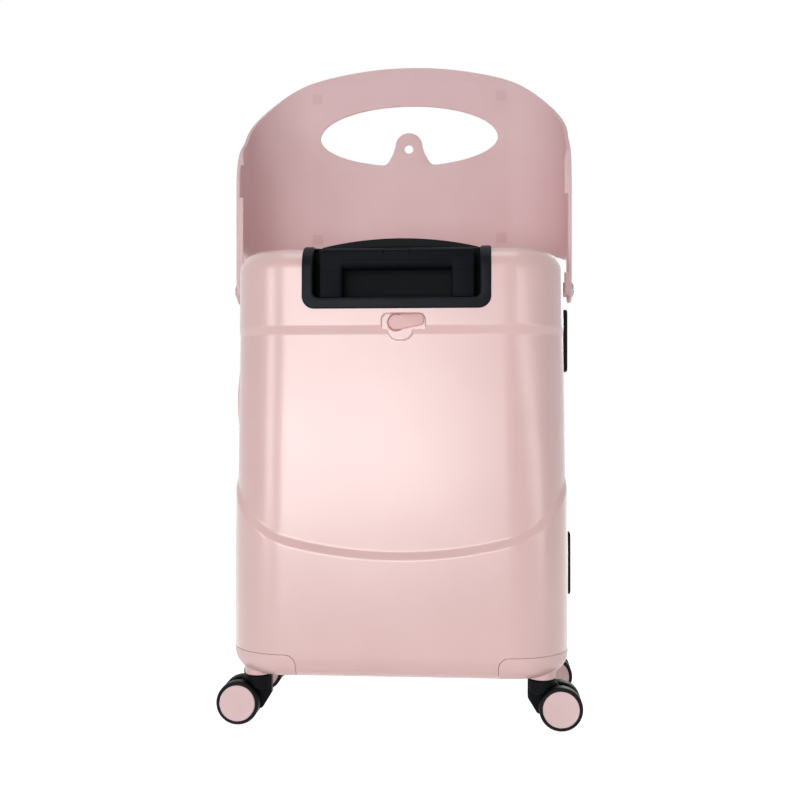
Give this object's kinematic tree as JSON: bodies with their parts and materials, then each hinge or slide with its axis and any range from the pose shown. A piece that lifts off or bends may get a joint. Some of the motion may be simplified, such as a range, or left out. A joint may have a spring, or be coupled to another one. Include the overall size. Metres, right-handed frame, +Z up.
{
  "type": "ride on suitcase",
  "caption": "Hard-shell cabin suitcase on twin-wheel casters with a telescopic trolley handle and a U-shaped seat guard that swings over the top, so a child can sit on it and ride.",
  "frame": {"origin": "on the floor, under the middle of the case's plan box", "axes": "+Z up, -Y towards the trolley (rear) face, +X to the right seen from the trolley side"},
  "size_m": [0.424, 0.246, 0.817],
  "materials": {
    "shell_pearl": "pearl satin",
    "guard_plastic": "satin",
    "trim_plastic": "satin",
    "black_plastic": "fine grained",
    "black_rubber": "matt",
    "tyre_black": "matt",
    "tube_aluminium": "anodised",
    "screw_steel": "turned",
    "slider_metal": "painted",
    "zip_tape": "woven"
  },
  "bodies": {
    "case": {"rear_shell": "shell_pearl", "zip_tape_rear": "zip_tape", "trolley_cup": "black_plastic", "trolley_outer_tubes": "tube_aluminium", "tube_sockets": "black_plastic", "corner_bracket_rear_left": "trim_plastic", "corner_bracket_rear_right": "trim_plastic", "pivot_screws": "screw_steel", "pivot_bushes": "black_plastic", "pivot_nuts": "screw_steel", "latch_pin": "trim_plastic", "top_handle": "black_rubber", "top_handle_mounts": "black_plastic"},
    "lid": {"front_shell": "shell_pearl", "zip_tape_front": "zip_tape", "corner_bracket_front_left": "trim_plastic", "corner_bracket_front_right": "trim_plastic", "side_handle": "trim_plastic", "side_handle_mounts": "trim_plastic", "side_feet": "black_rubber"},
    "guard": {"seat_guard": "guard_plastic", "guard_bumpers": "guard_plastic"},
    "latch": {"latch_lever": "trim_plastic"},
    "trolley_mid_stage": {"trolley_mid_tubes": "tube_aluminium"},
    "trolley_handle": {"trolley_grip": "black_plastic", "trolley_inner_tubes": "tube_aluminium"},
    "release_button": {"release_button": "black_plastic"},
    "zip_slider_upper": {"zip_slider_upper": "slider_metal"},
    "zip_slider_lower": {"zip_slider_lower": "slider_metal"},
    "caster_rear_left": {"caster_fork_rear_left": "black_plastic", "caster_axle_rear_left": "screw_steel"},
    "wheels_rear_left": {"caster_tyres_rear_left": "tyre_black", "caster_hubs_rear_left": "trim_plastic"},
    "caster_rear_right": {"caster_fork_rear_right": "black_plastic", "caster_axle_rear_right": "screw_steel"},
    "wheels_rear_right": {"caster_tyres_rear_right": "tyre_black", "caster_hubs_rear_right": "trim_plastic"},
    "caster_front_left": {"caster_fork_front_left": "black_plastic", "caster_axle_front_left": "screw_steel"},
    "wheels_front_left": {"caster_tyres_front_left": "tyre_black", "caster_hubs_front_left": "trim_plastic"},
    "caster_front_right": {"caster_fork_front_right": "black_plastic", "caster_axle_front_right": "screw_steel"},
    "wheels_front_right": {"caster_tyres_front_right": "tyre_black", "caster_hubs_front_right": "trim_plastic"}
  },
  "joints": [
    {"name": "lid_hinge", "type": "hinge", "parent": "case", "child": "lid", "pos_m": [0.195, 0.021, 0.3], "axis": [0, 0, -1], "range_deg": [0, 90]},
    {"name": "guard_pivot", "type": "hinge", "parent": "case", "child": "guard", "pos_m": [0, -0.004, 0.51], "axis": [1, 0, 0], "range_deg": [0, 180]},
    {"name": "latch_turn", "type": "hinge", "parent": "case", "child": "latch", "pos_m": [0, -0.12, 0.4635], "axis": [0, 1, 0], "range_deg": [0, 90]},
    {"name": "handle_slide", "type": "slide", "parent": "case", "child": "trolley_handle", "axis": [0, 0, 1], "range_m": [0, 0.4]},
    {"name": "mid_stage_slide", "type": "slide", "parent": "case", "child": "trolley_mid_stage", "axis": [0, 0, 1], "range_m": [0, 0.2]},
    {"name": "button_press", "type": "slide", "parent": "trolley_handle", "child": "release_button", "axis": [0, 0, -1], "range_m": [0, 0.003], "stiffness_N_per_m": 300, "springref_m": -0.002},
    {"name": "upper_slider_run", "type": "slide", "parent": "case", "child": "zip_slider_upper", "axis": [0, 0, 1], "range_m": [0, 0.035]},
    {"name": "lower_slider_run", "type": "slide", "parent": "case", "child": "zip_slider_lower", "axis": [0, 0, -1], "range_m": [0, 0.28]},
    {"name": "swivel_rear_left", "type": "hinge", "parent": "case", "child": "caster_rear_left", "pos_m": [-0.165, -0.075, 0.06], "axis": [0, 0, 1], "continuous": true},
    {"name": "roll_rear_left", "type": "hinge", "parent": "caster_rear_left", "child": "wheels_rear_left", "pos_m": [-0.186, -0.075, 0.025], "axis": [0, 1, 0], "continuous": true},
    {"name": "swivel_rear_right", "type": "hinge", "parent": "case", "child": "caster_rear_right", "pos_m": [0.165, -0.075, 0.06], "axis": [0, 0, 1], "continuous": true},
    {"name": "roll_rear_right", "type": "hinge", "parent": "caster_rear_right", "child": "wheels_rear_right", "pos_m": [0.186, -0.075, 0.025], "axis": [0, 1, 0], "continuous": true},
    {"name": "swivel_front_left", "type": "hinge", "parent": "lid", "child": "caster_front_left", "pos_m": [-0.165, 0.078, 0.06], "axis": [0, 0, 1], "continuous": true},
    {"name": "roll_front_left", "type": "hinge", "parent": "caster_front_left", "child": "wheels_front_left", "pos_m": [-0.186, 0.078, 0.025], "axis": [0, 1, 0], "continuous": true},
    {"name": "swivel_front_right", "type": "hinge", "parent": "lid", "child": "caster_front_right", "pos_m": [0.165, 0.078, 0.06], "axis": [0, 0, 1], "continuous": true},
    {"name": "roll_front_right", "type": "hinge", "parent": "caster_front_right", "child": "wheels_front_right", "pos_m": [0.186, 0.078, 0.025], "axis": [0, 1, 0], "continuous": true}
  ],
  "couplings": [
    {"joint": "mid_stage_slide", "follows": "handle_slide", "ratio": 0.5}
  ]
}
